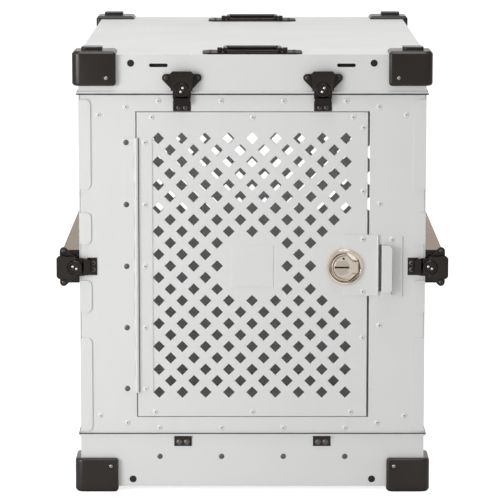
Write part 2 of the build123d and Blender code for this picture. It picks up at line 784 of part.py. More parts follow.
for name, place in latches.items():
    parts[name + "_rotor"] = place * latch_rotor()
    parts[name + "_wing"] = place * latch_wing()
    parts[name + "_claw"] = place * latch_claw()

os.makedirs("parts", exist_ok=True)
for name, shape in parts.items():
    export_step(shape, f"parts/{name}.step")
    print(name, len(shape.solids()), "solids", round(shape.volume / 1000, 2), "cm3")
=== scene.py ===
# %% [markdown]
# # A collapsible travel crate for a dog
#
# The crate is riveted together from powder-coated aluminium sheet. A front door with diamond-cut vents, black
# moulded corner caps and black rotary latches are what the eye goes to. The construction already exists as an
# exact model, so this lesson loads it and works on what a camera sees: rounded edges, small fasteners,
# finishes, light and the camera.

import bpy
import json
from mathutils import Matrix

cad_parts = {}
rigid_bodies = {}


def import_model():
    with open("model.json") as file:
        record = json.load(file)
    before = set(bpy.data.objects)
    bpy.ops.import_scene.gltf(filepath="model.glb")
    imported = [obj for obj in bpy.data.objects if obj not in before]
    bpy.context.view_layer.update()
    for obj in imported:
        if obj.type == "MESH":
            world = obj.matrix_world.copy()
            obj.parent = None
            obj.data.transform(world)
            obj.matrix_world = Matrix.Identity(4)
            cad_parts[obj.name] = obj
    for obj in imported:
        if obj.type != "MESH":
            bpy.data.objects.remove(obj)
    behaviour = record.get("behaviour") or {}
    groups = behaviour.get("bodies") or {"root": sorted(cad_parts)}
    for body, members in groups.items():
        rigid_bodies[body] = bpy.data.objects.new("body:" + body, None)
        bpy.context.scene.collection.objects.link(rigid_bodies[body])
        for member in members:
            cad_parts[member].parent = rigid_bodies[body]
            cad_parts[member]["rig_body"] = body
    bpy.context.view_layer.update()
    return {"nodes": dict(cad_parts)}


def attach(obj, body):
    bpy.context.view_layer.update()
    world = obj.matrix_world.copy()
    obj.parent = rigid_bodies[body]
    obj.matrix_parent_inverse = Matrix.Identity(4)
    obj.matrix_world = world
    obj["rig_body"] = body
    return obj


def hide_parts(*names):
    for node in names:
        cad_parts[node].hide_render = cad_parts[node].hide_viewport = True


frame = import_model()

# %% [markdown]
# Everything is in metres, but a maker thinks in millimetres. One named value turns the one into the other.
# The planes and places that many pieces share are named here once. A plain number in a later cell is always
# in millimetres, unless its comment says otherwise.

# %% Sizes that many pieces share
import json
import math

import bmesh
import bpy
from mathutils import Matrix, Vector
from mathutils.geometry import convex_hull_2d

MM = 0.001
SIDE_X = 290.0  # outer face of the right side wall; the left one is its mirror image
FACE_Y = -430.0  # outer face of the front wall; the back wall is its mirror image
CAP_X, CAP_Y = 300.0, -440.0  # outer faces of the corner caps, right and front
LID_TOP = 742.0  # the lid's sheet, without its caps
HANDLE_Y = {"front": -396.0, "back": 338.5}
FRONT, BACK, UP = (0, -1, 0), (0, 1, 0), (0, 0, 1)
ends = {"front": (FACE_Y, FRONT), "back": (-FACE_Y, BACK)}
SIDES = (-1, 1)  # the two sides of a middle plane

# %% [markdown]
# Colours are picked as sRGB hex values, the way a paint or plastic supplier gives them. Blender's shaders add
# up light, so they want linear values, and one function does the sum.
#
# A second function adds any node to any tree, with its settings and links. A node's input is either a number
# or the output of another node, so a whole material reads from top to bottom like a recipe.

# %% Colour and node helpers
def linear(code):
    """An sRGB hex colour as linear RGBA."""
    channels = [int(code[i:i + 2], 16) / 255 for i in (1, 3, 5)]
    return [c / 12.92 if c <= 0.04045 else ((c + 0.055) / 1.055) ** 2.4 for c in channels] + [1.0]


def add(tree, kind, inputs=None, **settings):
    """One node. Each input is a value or the output socket of another node."""
    node = tree.nodes.new(kind)
    for key, value in settings.items():
        setattr(node, key, value)
    for key, value in (inputs or {}).items():
        if isinstance(value, bpy.types.NodeSocket):
            tree.links.new(value, node.inputs[key])
        else:
            node.inputs[key].default_value = value
    return node


# %% [markdown]
# Every finish here is a thin skin on something else: paint on sheet, nickel on a zinc casting, texture on a
# moulding. They differ in colour, gloss and in how coarse their surface is. So one recipe makes them all: two
# close colours mixed by a slow noise, a gloss that varies a little with handling, and a fine bump. The bump's
# grain is given in millimetres, and anything finer than about a pixel is drawn coarser, or it would not show.

# %% One recipe for a coated or moulded surface
NOISE_LOW, NOISE_HIGH = 0.3, 0.7  # what a noise with a few octaves spans
HANDLING = 0.15  # how far the gloss strays from its middle value


def finish(name, light, dark, roughness, grain_mm, bump_mm, metallic=0.0, patch_mm=60.0, edge="#FFFFFF"):
    """A material of two close colours, with uneven gloss, fine grain and a tint where it's seen edge-on."""
    material = bpy.data.materials.new(name)
    material.use_nodes = True
    tree = material.node_tree
    tree.nodes.clear()
    place = add(tree, "ShaderNodeTexCoord").outputs["Object"]
    patches = add(tree, "ShaderNodeTexNoise", {"Vector": place, "Scale": 1 / (patch_mm * MM), "Detail": 3.0})
    mix = add(tree, "ShaderNodeMix", {0: patches.outputs["Fac"], 6: linear(light), 7: linear(dark)},
              data_type="RGBA")
    gloss = add(tree, "ShaderNodeMapRange",
                {"Value": patches.outputs["Fac"], "From Min": NOISE_LOW, "From Max": NOISE_HIGH,
                 "To Min": roughness * (1 - HANDLING), "To Max": roughness * (1 + HANDLING)})
    grain = add(tree, "ShaderNodeTexNoise", {"Vector": place, "Scale": 1 / (grain_mm * MM), "Detail": 2.0})
    bump = add(tree, "ShaderNodeBump", {"Height": grain.outputs["Fac"], "Distance": bump_mm * MM,
                                        "Strength": 1.0})
    shader = add(tree, "ShaderNodeBsdfPrincipled",
                 {"Base Color": mix.outputs[2], "Roughness": gloss.outputs["Result"],
                  "Normal": bump.outputs["Normal"], "Metallic": metallic, "Specular Tint": linear(edge)})
    add(tree, "ShaderNodeOutputMaterial", {"Surface": shader.outputs["BSDF"]})
    return material


# Polyester powder coat, baked on: a soft gloss with the faint ripple called orange peel.
powder_white = finish("white_powder_coat_on_aluminium", "#E8E8E7", "#E2E2E1", 0.42, 5.0, 0.03, patch_mm=150)
# Glass-filled nylon, moulded: a dull brown-black with a spark-eroded texture.
nylon_black = finish("moulded_black_nylon", "#211811", "#1A130D", 0.32, 1.6, 0.03)
# Black coating on the steel of claws, keepers, catch plates and handle plates: smoother and darker edge-on.
coated_black = finish("black_coated_steel", "#45413F", "#383533", 0.3, 3.0, 0.01, 1.0, edge="#AAA5A0")
# Bronze-black rails: almost black from the front, and tan-grey where they are seen edge-on.
channel_black = finish("black_coated_channel", "#423D39", "#3A3633", 0.16, 6.0, 0.01, 1.0, 90, "#E4D6C9")
# Bright nickel over a polished zinc casting: a warm mirror.
nickel_bright = finish("bright_nickel_plate", "#F7EBDC", "#EFE2D1", 0.1, 4.0, 0.01, metallic=1.0)
# The same plate on the paddle, dulled by hands and by the moulding under it.
nickel_dull = finish("worn_nickel_plate", "#F6ECDF", "#D8CBB9", 0.25, 3.0, 0.02, 0.5, 12)
# Satin nickel of the key plug and bolt.
nickel_satin = finish("satin_nickel_plate", "#DED3C4", "#C8BDAE", 0.3, 1.5, 0.015, 0.6)
# The bare steel mandrel that is left in the middle of a blind rivet.
mandrel_steel = finish("bare_mandrel_steel", "#8C8A86", "#77746F", 0.35, 1.0, 0.02, metallic=1.0)
# Plain aluminium blind rivets, which hold the corner caps and aren't painted.
rivet_metal = finish("bare_aluminium_rivets", "#B9B6B1", "#A5A29D", 0.3, 1.0, 0.02, metallic=1.0)
# Grey steel rivets that were set after painting: in the photograph they are dark discs.
rivet_steel = finish("dull_steel_rivets", "#76726D", "#625E59", 0.42, 1.0, 0.02, 0.8)
# Dark grey for painted shadow: the dark lines along the rims and beside the door's hinge.
shadow_grey = finish("painted_shadow_grey", "#3A3A3A", "#303030", 0.7, 2.0, 0.02)
# Near-black for painted shade: in the key slot, the grooves, the tie holes and strap slots, and the holes in
# steel rivets.
shade_black = finish("painted_shade_of_holes", "#0E0C0B", "#090807", 0.6, 2.0, 0.01)
# Polished stainless studs of the latch hubs.
stud_steel = finish("polished_stainless_steel", "#E6E4E0", "#DAD8D4", 0.15, 1.0, 0.01, metallic=1.0)
print("finishes", [material.name for material in bpy.data.materials if material.use_nodes])

# %% [markdown]
# The photograph was taken with a long lens from about five metres, a little above the crate, on a white
# sweep. A long lens keeps the front almost square while the lid's top still shows as a thin band. The camera
# was placed by matching the lid's front and back edges and the seams of lid and tray.

# %% Camera
LENS, SENSOR = 212.8, 36.0
CAMERA_X = -4.0
AWAY, EYE_LEVEL, FAR_CLIP = 4.90, 1.160, 200.0  # metres, the first from the front wall
LOOK_DOWN = 8.66  # degrees
camera_data = bpy.data.cameras.new("camera")
camera_data.sensor_width = SENSOR
camera_data.lens = LENS
camera_data.clip_end = FAR_CLIP
camera = bpy.data.objects.new("camera", camera_data)
camera.location = (CAMERA_X * MM, FACE_Y * MM - AWAY, EYE_LEVEL)
camera.rotation_euler = (math.radians(90 - LOOK_DOWN), 0, 0)
bpy.context.scene.collection.objects.link(camera)
bpy.context.scene.camera = camera

# %% [markdown]
# A product photograph of a white thing needs even light with just enough direction to show the folds. A wide
# lamp overhead lights the lid and draws a shadow under every rim. A lower one to the front left makes the
# left of the crate a little brighter than the right, and the room fills the rest. A weak one inside stands
# for the light that a whole vented cabin lets in.
#
# The backdrop behind the crate is lit to white. Every glossy face that mirrors it at a grazing angle shows
# it, which is why the black rails have tan tops. The room in front is uneven, but only in mirror images: the
# nickel lock would look flat without that. The camera sees the whole world as white, and the floor is lifted
# to white for the camera too.

# %% Stage and light
ROOM = 0.42  # how bright the room is, where white is 1
ROOM_DARK, ROOM_BRIGHT = 0.06, 1.1  # the same in a mirror image, from patch to patch
ROOM_PATCHES = 2.4
PATCH_FROM, PATCH_TO = 0.42, 0.58  # a narrow part of the noise makes firm patches
BACKDROP_FROM, BACKDROP_FULL = 0.6, 0.9  # how far towards +Y a direction points where the backdrop starts
FLOOR_LIFT = 0.8
FLOOR_REACH = 40.0  # metres


def soft_lamp(name, place, aim, size, power):
    """A square soft lamp that looks at a point, in metres and watts."""
    data = bpy.data.lights.new(name, "AREA")
    data.shape, data.size, data.energy = "SQUARE", size, power
    lamp = bpy.data.objects.new(name, data)
    lamp.location = place
    lamp.visible_camera = False
    lamp.rotation_euler = (Vector(aim) - Vector(place)).to_track_quat("-Z", "Y").to_euler()
    bpy.context.scene.collection.objects.link(lamp)


soft_lamp("overhead_lamp", (0, -0.7, 3.2), (0, -0.2, 0.7), 1.8, 31)
soft_lamp("key_lamp", (-1.7, -1.9, 0.7), (0, -0.4, 0.4), 1.0, 23)
soft_lamp("cabin_lamp", (0, 0, 0.66), (0, 0, 0), 0.5, 0.2)

world = bpy.data.worlds.new("white_studio")
bpy.context.scene.world = world
world.use_nodes = True
sky = world.node_tree
sky.nodes.clear()
heading = add(sky, "ShaderNodeTexCoord").outputs["Generated"]
way = add(sky, "ShaderNodeSeparateXYZ", {0: heading})
rays = add(sky, "ShaderNodeLightPath")
room = add(sky, "ShaderNodeTexNoise", {"Vector": heading, "Scale": ROOM_PATCHES, "Detail": 1.0})
mirrored = add(sky, "ShaderNodeMapRange",
               {"Value": room.outputs["Fac"], "From Min": PATCH_FROM, "From Max": PATCH_TO,
                "To Min": ROOM_DARK, "To Max": ROOM_BRIGHT})
ahead = add(sky, "ShaderNodeMix", {0: rays.outputs["Is Glossy Ray"], 2: ROOM, 3: mirrored.outputs[0]})
backdrop = add(sky, "ShaderNodeMapRange",
               {"Value": way.outputs["Y"], "From Min": BACKDROP_FROM, "From Max": BACKDROP_FULL,
                "To Min": ahead.outputs[0], "To Max": 1.0})
level = add(sky, "ShaderNodeMath", {0: backdrop.outputs["Result"], 1: rays.outputs["Is Camera Ray"]},
            operation="MAXIMUM")
white_sky = add(sky, "ShaderNodeBackground", {"Color": (1, 1, 1, 1), "Strength": level.outputs[0]})
add(sky, "ShaderNodeOutputWorld", {"Surface": white_sky.outputs["Background"]})

floor_mesh = bpy.data.meshes.new("floor")
floor_corners = [(x * FLOOR_REACH, y * FLOOR_REACH, 0) for x, y in ((-1, -1), (1, -1), (1, 1), (-1, 1))]
floor_mesh.from_pydata(floor_corners, [], [(0, 1, 2, 3)])
floor = bpy.data.objects.new("floor", floor_mesh)
bpy.context.scene.collection.objects.link(floor)
floor_paint = bpy.data.materials.new("white_sweep")
floor_paint.use_nodes = True
tree = floor_paint.node_tree
tree.nodes.clear()
rays = add(tree, "ShaderNodeLightPath")
chalk = add(tree, "ShaderNodeBsdfDiffuse", {"Color": linear("#EDEDED")})
glow = add(tree, "ShaderNodeEmission", {"Color": (1, 1, 1, 1), "Strength": FLOOR_LIFT})
lifted = add(tree, "ShaderNodeAddShader", {0: chalk.outputs[0], 1: glow.outputs[0]})
floor_mix = add(tree, "ShaderNodeMixShader", {0: rays.outputs["Is Camera Ray"], 1: chalk.outputs[0],
                                              2: lifted.outputs[0]})
add(tree, "ShaderNodeOutputMaterial", {"Surface": floor_mix.outputs[0]})
floor_mesh.materials.append(floor_paint)
bpy.context.scene.view_settings.view_transform = "Standard"

# %% [markdown]
# Each node of the construction gets a finish, which its finished stand-in below takes over. Most are white.
# The black ones are picked by the ends of their names, and the rails and the lock's pieces are named. The
# tray's floor and the two fold hinges inside keep the shape they have.

# %% Finishes for the nodes
moulded = ("_rotor", "_wing", "_caps", "_latch_plates", "_grip")
coated = ("_claw", "_keepers", "_catch_plates", "_handle_plates")
node_finishes = {node: powder_white for node in frame["nodes"]}
node_finishes.update({node: nylon_black for node in frame["nodes"] if node.endswith(moulded)})
node_finishes.update({node: coated_black for node in frame["nodes"] if node.endswith(coated)})
node_finishes.update({"side_rails": channel_black, "lock_body": nickel_bright, "lock_paddle": nickel_dull,
                      "lock_plug": nickel_satin, "lock_bolt": nickel_satin})
for node, material in node_finishes.items():
    slots = frame["nodes"][node].material_slots
    for each in slots:
        each.material = material
    if not slots:
        frame["nodes"][node].data.materials.append(material)
print(len(node_finishes), "nodes finished")

# %% [markdown]
# No real edge is perfectly sharp. Folded sheet has a small radius, a moulding a larger one, and paint gathers
# on both. A sharp edge in a model gives itself away because it catches no light. For the pieces where it
# shows, a copy of the construction's solid is welded, its flat facets are joined, and a Bevel modifier rounds
# what is left. The copy then stands for the node, on the same body.

# %% Rounded copies of solids
WELD = 0.002
FLAT, SHARP = 0.5, 30.0  # degrees between two faces: below the first they are one, above the other an edge


def link(piece):
    """Puts a new object in the scene."""
    bpy.context.scene.collection.objects.link(piece)
    return piece


def smooth(mesh, sharp=None):
    """Shades a mesh smooth, but not over edges sharper than an angle in degrees."""
    mesh.polygons.foreach_set("use_smooth", [True] * len(mesh.polygons))
    if sharp:
        mesh.set_sharp_from_angle(angle=math.radians(sharp))


def settled(piece, name):
    """The evaluated shape of a piece as a plain mesh, with no modifier left."""
    graph = bpy.context.evaluated_depsgraph_get()
    mesh = bpy.data.meshes.new_from_object(piece.evaluated_get(graph), preserve_all_data_layers=True,
                                           depsgraph=graph)
    bpy.data.objects.remove(piece)
    mesh.name = name
    return link(bpy.data.objects.new(name, mesh))


def rounded(piece, name, width_mm):
    """Rounds the sharp edges, and shades flats flat."""
    smooth(piece.data)
    bevel = piece.modifiers.new("edge", "BEVEL")
    bevel.width, bevel.segments = width_mm * MM, 2
    bevel.limit_method, bevel.angle_limit = "ANGLE", math.radians(SHARP)
    bevel.harden_normals = True
    return settled(piece, name)


def welded_copy(node, name):
    """A copy of a node's triangles, welded and with its flat facets joined."""
    mesh = bpy.data.meshes.new(name)
    work = bmesh.new()
    work.from_mesh(frame["nodes"][node].data)
    bmesh.ops.remove_doubles(work, verts=work.verts, dist=WELD * MM)
    bmesh.ops.dissolve_limit(work, angle_limit=math.radians(FLAT), verts=work.verts, edges=work.edges)
    work.to_mesh(mesh)
    work.free()
    for spare in [a for a in mesh.attributes if a.name == "custom_normal"]:
        mesh.attributes.remove(spare)
    return link(bpy.data.objects.new(name, mesh))


def rounded_where(piece, name, width_mm, wanted):
    """Rounds only the edges that a test picks by their two ends in mm."""
    mesh = piece.data
    points = [vertex.co / MM for vertex in mesh.vertices]
    picked = [float(wanted(*[points[i] for i in edge.vertices])) for edge in mesh.edges]
    mesh.attributes.new("bevel_weight_edge", "FLOAT", "EDGE").data.foreach_set("value", picked)
    bevel = piece.modifiers.new("corner", "BEVEL")
    bevel.width, bevel.segments, bevel.limit_method = width_mm * MM, 4, "WEIGHT"
    piece = settled(piece, name)
    piece.data.attributes.remove(piece.data.attributes["bevel_weight_edge"])
    return piece


def stand_in(node, width_mm, corner_mm=0.0, wanted=None):
    """A rounded copy of a node that replaces it, with larger corners where a test picks them."""
    name = node + "_finished"
    raw = welded_copy(node, name + "_raw")
    if wanted:
        raw = rounded_where(raw, name + "_corners", corner_mm, wanted)
    piece = rounded(raw, name, width_mm)
    piece.data.materials.clear()
    piece.data.materials.append(node_finishes[node])
    body = frame["nodes"][node]["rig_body"]
    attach(piece, body)
    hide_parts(node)
    return piece


edge_radii = {"base_tray": 0.8, "lid_pan": 0.8, "front_wall": 0.7, "back_wall": 0.6, "door_panel": 0.5,
              "side_rails": 2.5, "strike_bracket": 0.8, "lock_cover_plate": 0.7, "front_keepers": 0.5,
              "back_keepers": 0.5, "base_catch_plates": 0.5, "lock_bolt": 0.5}
for node, width in edge_radii.items():
    stand_in(node, width)

# %% [markdown]
# The flange tabs, the handles' lugs and the corner caps also have larger corners, of a few millimetres. A
# small test for each tells these edges from the others by where their two ends lie.

# %% Larger corners
CAP_HEIGHT, CAP_THICK = 58.0, 6.0  # the caps' full height, and how far they stand above the lid's sheet
CAP_INNER_X = 227.5  # a little further out than a cap's inner end
CAP_SHIFT = -CAP_Y - CAP_X  # a cap lies this much further out in Y than in X
TAB_INNER_X = 276.0  # the flange tabs' free ends lie nearer to the middle
LUG_LOW = LID_TOP + 8.0
NEAR = 0.1  # two values closer than this are the same


def flange_corner(a, b):
    """Edges across the thin outer corners of a side wall's flange tabs."""
    along_y = abs(a.x - b.x) < NEAR and abs(a.z - b.z) < NEAR
    return along_y and abs(a.x) < TAB_INNER_X and min(abs(a.y), abs(b.y)) > -FACE_Y - 1.0


def lug_corner(a, b):
    """Edges on the upper part of the handle plates' lugs."""
    return min(a.z, b.z) > LUG_LOW


def open_end_of_cap(level):
    """A test for the edges round the open end of a corner cap, which is moulded with large corners."""
    def wanted(a, b):
        upright = abs(a.z - b.z) > 1.0
        inner_end = min(abs(a.x), abs(a.y) - CAP_SHIFT) < CAP_INNER_X
        outer_face = max(abs(a.x) + CAP_SHIFT, abs(a.y)) > -CAP_Y - 0.5
        off_the_sheet = any(abs(p.x) > SIDE_X + 0.5 or abs(p.y) > -FACE_Y + 0.5 for p in (a, b))
        if upright:
            return inner_end and outer_face
        return abs(a.z - level) < NEAR and off_the_sheet
    return wanted


for side in ("left", "right"):
    stand_in("side_wall_" + side, 0.7, 3.5, flange_corner)
stand_in("lid_handle_plates", 0.6, 2.6, lug_corner)
for node, level in (("lid_corner_caps", LID_TOP + CAP_THICK - CAP_HEIGHT), ("base_corner_caps", CAP_HEIGHT)):
    piece = stand_in(node, 1.2, 5.0, open_end_of_cap(level))
    print(piece.name, len(piece.data.polygons), "faces")

# %% [markdown]
# A thin dark grey strip lies in the joint between the walls and each rim. It is painted shadow: the dark line
# under the lid and above the tray. It is four strips in a ring, and rides on the pan that holds it.

# %% Painted shadow lines at the rims
ROUND = 35.0  # degrees: a drawn piece is shaded smooth over edges that bend less than this
RIM_X, RIM_Y = 293.0, 433.0
STRIP_OUT, STRIP_IN = 0.5, 0.3  # how far a strip stands out of the rim and reaches under it
shade_strip_levels = {"lid": (674.9, 677.2), "crate_base": (99.4, 101.1)}


def plate(work, outline, low, high, finish_index=0):
    """Pulls a counter-clockwise outline of (x, y) pairs in mm up from one level to another."""
    bottom = [work.verts.new(Vector((x, y, low)) * MM) for x, y in outline]
    top = [work.verts.new(Vector((x, y, high)) * MM) for x, y in outline]
    work.faces.new(top).material_index = finish_index
    work.faces.new(list(reversed(bottom))).material_index = finish_index
    for i in range(len(outline)):
        j = (i + 1) % len(outline)
        work.faces.new([bottom[i], bottom[j], top[j], top[i]]).material_index = finish_index


def box_work(work, low, high, finish_index=0):
    """A plain block between two corners in mm."""
    outline = [(low[0], low[1]), (high[0], low[1]), (high[0], high[1]), (low[0], high[1])]
    plate(work, outline, low[2], high[2], finish_index)


def from_work(work, name, matrices=(Matrix.Identity(4),), materials=()):
    """The finished work as an object, once at each matrix."""
    single = bpy.data.meshes.new(name)
    work.to_mesh(single)
    work.free()
    whole = bmesh.new()
    for matrix in matrices:
        copy = single.copy()
        copy.transform(matrix)
        whole.from_mesh(copy)
        bpy.data.meshes.remove(copy)
    mesh = bpy.data.meshes.new(name)
    whole.to_mesh(mesh)
    whole.free()
    bpy.data.meshes.remove(single)
    for material in materials:
        mesh.materials.append(material)
    smooth(mesh, ROUND)
    return link(bpy.data.objects.new(name, mesh))


far_x, far_y, near_x, near_y = RIM_X + STRIP_OUT, RIM_Y + STRIP_OUT, RIM_X - STRIP_IN, RIM_Y - STRIP_IN
for body, (low, high) in shade_strip_levels.items():
    work = bmesh.new()
    for sign in SIDES:
        across = sorted((sign * near_y, sign * far_y))
        along = sorted((sign * near_x, sign * far_x))
        box_work(work, (-far_x, across[0], low), (far_x, across[1], high))
        box_work(work, (along[0], -near_y, low), (along[1], near_y, high))
    shade_strip = from_work(work, body + "_rim_shade_strip", materials=[shadow_grey])
    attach(shade_strip, body)

# %% [markdown]
# The rotary latches are small machines: a base plate, a hub that turns, a wing that folds out to turn it, and
# a claw that a cam pushes over the keeper. Each is drawn once in the latch's own directions: u towards the
# keeper, v across and w out of the wall. A matrix then sets every copy in its place.

# %% The eight places of a latch
LATCH_X, LID_LATCH_Z, SIDE_LATCH_X, SIDE_LATCH_Z = 117.4, 684.5, 297.5, 386.0


def place_of(x, y, z, towards, out):
    """The matrix from a latch's own u, v and w, in metres, to the crate."""
    u, w = Vector(towards), Vector(out)
    turn = Matrix((u, w.cross(u), w)).transposed().to_4x4()
    return Matrix.Translation(Vector((x, y, z)) * MM) @ turn


latches = {}
for end, (y, out) in ends.items():
    for side, sign in zip(("left", "right"), SIDES):
        latches[f"lid_{end}_{side}"] = place_of(sign * LATCH_X, y, LID_LATCH_Z, (0, 0, -1), out)
        latches[f"side_{end}_{side}"] = place_of(sign * SIDE_LATCH_X, y, SIDE_LATCH_Z, (-sign, 0, 0), out)
print(sorted(latches))

# %% [markdown]
# Turned parts, such as the hub, are a profile spun about an axis. Spinning by hand with a loop keeps the mesh
# closed at the pole and with its faces pointing outwards.

# %% Turned parts
def turned(work, profile, centre=(0, 0, 0), steps=32, finish_index=0):
    """Spins a profile of (radius, height) pairs in mm, from the top of the axis to its bottom, about +Z."""
    rings = []
    for radius, height in profile:
        level = [Vector(centre) + Vector((radius * math.cos(a), radius * math.sin(a), height))
                 for a in (2 * math.pi * i / steps for i in range(steps if radius > 0 else 1))]
        rings.append([work.verts.new(point * MM) for point in level])
    for upper, lower in zip(rings, rings[1:]):
        for i in range(steps):
            corners = [upper[i % len(upper)], lower[i % len(lower)], lower[(i + 1) % len(lower)],
                       upper[(i + 1) % len(upper)]]
            unique = list(dict.fromkeys(corners))
            if len(unique) > 2:
                work.faces.new(unique).material_index = finish_index


def joined(first, second):
    """Adds the second object's mesh to the first, and gives each face its own material's slot there."""
    slots = {}
    for i, material in enumerate(second.data.materials):
        known = list(first.data.materials)
        if material and material not in known:
            first.data.materials.append(material)
            known.append(material)
        slots[i] = known.index(material) if material else 0
    work = bmesh.new()
    work.from_mesh(first.data)
    first_faces = len(work.faces)
    work.from_mesh(second.data)
    work.faces.ensure_lookup_table()
    for face in work.faces[first_faces:]:
        face.material_index = slots.get(face.material_index, 0)
    work.to_mesh(first.data)
    work.free()
    bpy.data.objects.remove(second)
    return first


# %% [markdown]
# The tie holes show black in the photograph, with a light dot in the middle. So each is closed by a
# near-black plug with a dimple, a little deeper than the sheet's face: painted shade in the hole. The strap
# slots show black too, but a strap has to get through, so a near-black pad of painted shade stands behind
# them in the lid, with room for the strap before it.

# %% Painted shade in the holes of tray and lid: plugs and pads
TIE_X, SLOT_X = 202.3, 156.3
plug_profile = [(0, -0.7), (1.3, -0.7), (2.0, -1.1), (5.8, -0.8), (5.8, -1.7), (0, -1.7)]
pad_corners = ((-19.0, -8.0, -11.0), (19.0, 8.0, -8.0))  # 8 mm behind the face, for the strap
hole_kinds = [("crate_base", "tie_hole_shade", TIE_X, 20.6), ("lid", "tie_hole_shade", TIE_X, 727.5),
              ("lid", "slot_shade", SLOT_X, 724.0)]
for body, kind, x, z in hole_kinds:
    work = bmesh.new()
    if kind == "tie_hole_shade":
        turned(work, plug_profile, steps=24)
    else:
        box_work(work, *pad_corners)
    spots = [place_of(s * x, y, z, (1, 0, 0), out) for y, out in ends.values() for s in SIDES]
    plugs = from_work(work, f"{body}_{kind}", spots, [shade_black])
    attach(plugs, body)
    print(plugs.name, len(spots))

# %% [markdown]
# The base plate of a latch is a rounded triangle: two riveted ears, drawn together under the hub. Its outline
# is the hull of four circles, the way one would stretch a band round four pegs. The lower two are cut off
# where the claw comes out. A raised ring lies round the rivet in each ear.

# %% Latch base plates
EAR_U, EAR_V, EAR_RADIUS, PLATE_W = -19.0, 26.5, 6.5, 4.6
FOOT_U, FOOT_V, FOOT_RADIUS = 3.2, 12.0, 4.0
ear_ring = [(3.8, PLATE_W - 0.2), (4.0, PLATE_W + 1.2), (4.9, PLATE_W + 1.2), (5.5, PLATE_W - 0.2)]


def circle(u, v, radius, steps=28):
    """Points round a peg."""
    return [(u + radius * math.cos(2 * math.pi * i / steps), v + radius * math.sin(2 * math.pi * i / steps))
            for i in range(steps)]


pegs = [p for v in (-EAR_V, EAR_V) for p in circle(EAR_U, v, EAR_RADIUS)]
pegs += [(min(u, FOOT_U), v) for side in (-FOOT_V, FOOT_V) for u, v in circle(0, side, FOOT_RADIUS)]
outline = [pegs[i] for i in convex_hull_2d(pegs)]
area = sum(a[0] * b[1] - b[0] * a[1] for a, b in zip(outline, outline[1:] + outline[:1]))
if area < 0:
    outline.reverse()
for group, body, node in (("lid", "lid", "lid_latch_plates"), ("side", "crate_base", "side_latch_plates")):
    work = bmesh.new()
    plate(work, outline, 0, PLATE_W)
    spots = [matrix for name, matrix in latches.items() if name.startswith(group)]
    raw = from_work(work, node + "_raw", spots, [nylon_black])
    piece = rounded(raw, node + "_finished", 1.0)
    work = bmesh.new()
    for v in (-EAR_V, EAR_V):
        turned(work, ear_ring, (EAR_U, v, 0), 24)
    piece = joined(piece, from_work(work, node + "_rings", spots, [nylon_black]))
    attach(piece, body)
    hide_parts(node)

# %% [markdown]
# The hub is a turned knob with a groove round its face, whose floor is near-black as painted shade, and two
# polished studs. Under it sit the cam and the shaft, which show only when the wing is folded out. Wing and
# claw keep the construction's outline with their edges rounded, and the wing gets three low ribs for the
# fingers.

# %% Hubs, wings and claws
HUB_TOP, HUB_LOW, CAM_LOW, SHAFT_LOW = 16.0, 7.9, 5.0, 0.4
CAM_OFF, CAM_RADIUS, SHAFT_RADIUS = -5.0, 6.0, 4.0
STUD_OUT, STUD_TURN = 3.6, math.radians(-30)
WING_TOP, RIB_HALF, RIB_U = 14.6, 14.0, (-28.2, -25.8, -23.4)
GROOVE = HUB_TOP - 1.1
hub_face = [(0, HUB_TOP - 0.4), (7.0, HUB_TOP - 0.5), (7.6, GROOVE)]
hub_side = [(9.2, GROOVE), (9.6, HUB_TOP - 0.1), (10.7, HUB_TOP), (11.5, HUB_TOP - 0.7),
            (11.75, HUB_TOP - 1.6), (11.75, HUB_LOW), (0, HUB_LOW)]
stud = [(0, HUB_TOP + 1.0), (1.2, HUB_TOP + 0.85), (1.9, HUB_TOP + 0.3), (2.1, HUB_TOP - 0.5),
        (0, HUB_TOP - 0.5)]


def rod(radius, high, low):
    """The profile of a plain round bar."""
    return [(0, high), (radius, high), (radius, low), (0, low)]


for name, matrix in latches.items():
    work = bmesh.new()
    turned(work, hub_face)
    # The groove's floor gets the near-black of painted shade.
    turned(work, [hub_face[-1], hub_side[0]], finish_index=2)
    turned(work, hub_side)
    turned(work, rod(CAM_RADIUS, HUB_LOW, CAM_LOW), (CAM_OFF, 0, 0), 20)
    turned(work, rod(SHAFT_RADIUS, CAM_LOW, SHAFT_LOW), steps=20)
    for out in (-STUD_OUT, STUD_OUT):
        turned(work, stud, (out * math.cos(STUD_TURN), out * math.sin(STUD_TURN), 0), 14, 1)
    hub = from_work(work, name + "_hub", [matrix], [nylon_black, stud_steel, shade_black])
    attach(hub, name + "_rotor")
    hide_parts(name + "_rotor")
    wing = stand_in(name + "_wing", 0.6)
    work = bmesh.new()
    for u in RIB_U:
        box_work(work, (u - 0.5, -RIB_HALF, WING_TOP - 0.2), (u + 0.5, RIB_HALF, WING_TOP + 0.5))
    joined(wing, from_work(work, name + "_ribs", [matrix], [nylon_black]))
    stand_in(name + "_claw", 0.5)

# %% [markdown]
# Blind rivets hold the crate together. Each has a low dome with the end of its mandrel in the middle. There
# are far too many to place by hand, so a Geometry Nodes tree instances one head on every point of a small
# cloud, and turns it to face the way the point says. The dome is a cone whose rings are lifted to the curve
# 1 - r**3, which is flat on top and steep at the rim.

# %% Geometry Nodes tree for rivets
def new_tree(name, numbers):
    """An empty Geometry Nodes tree with named number inputs."""
    tree = bpy.data.node_groups.new(name, "GeometryNodeTree")
    tree.interface.new_socket("Geometry", in_out="INPUT", socket_type="NodeSocketGeometry")
    for label, kind in numbers:
        tree.interface.new_socket(label, in_out="INPUT", socket_type=kind)
    tree.interface.new_socket("Geometry", in_out="OUTPUT", socket_type="NodeSocketGeometry")
    return tree


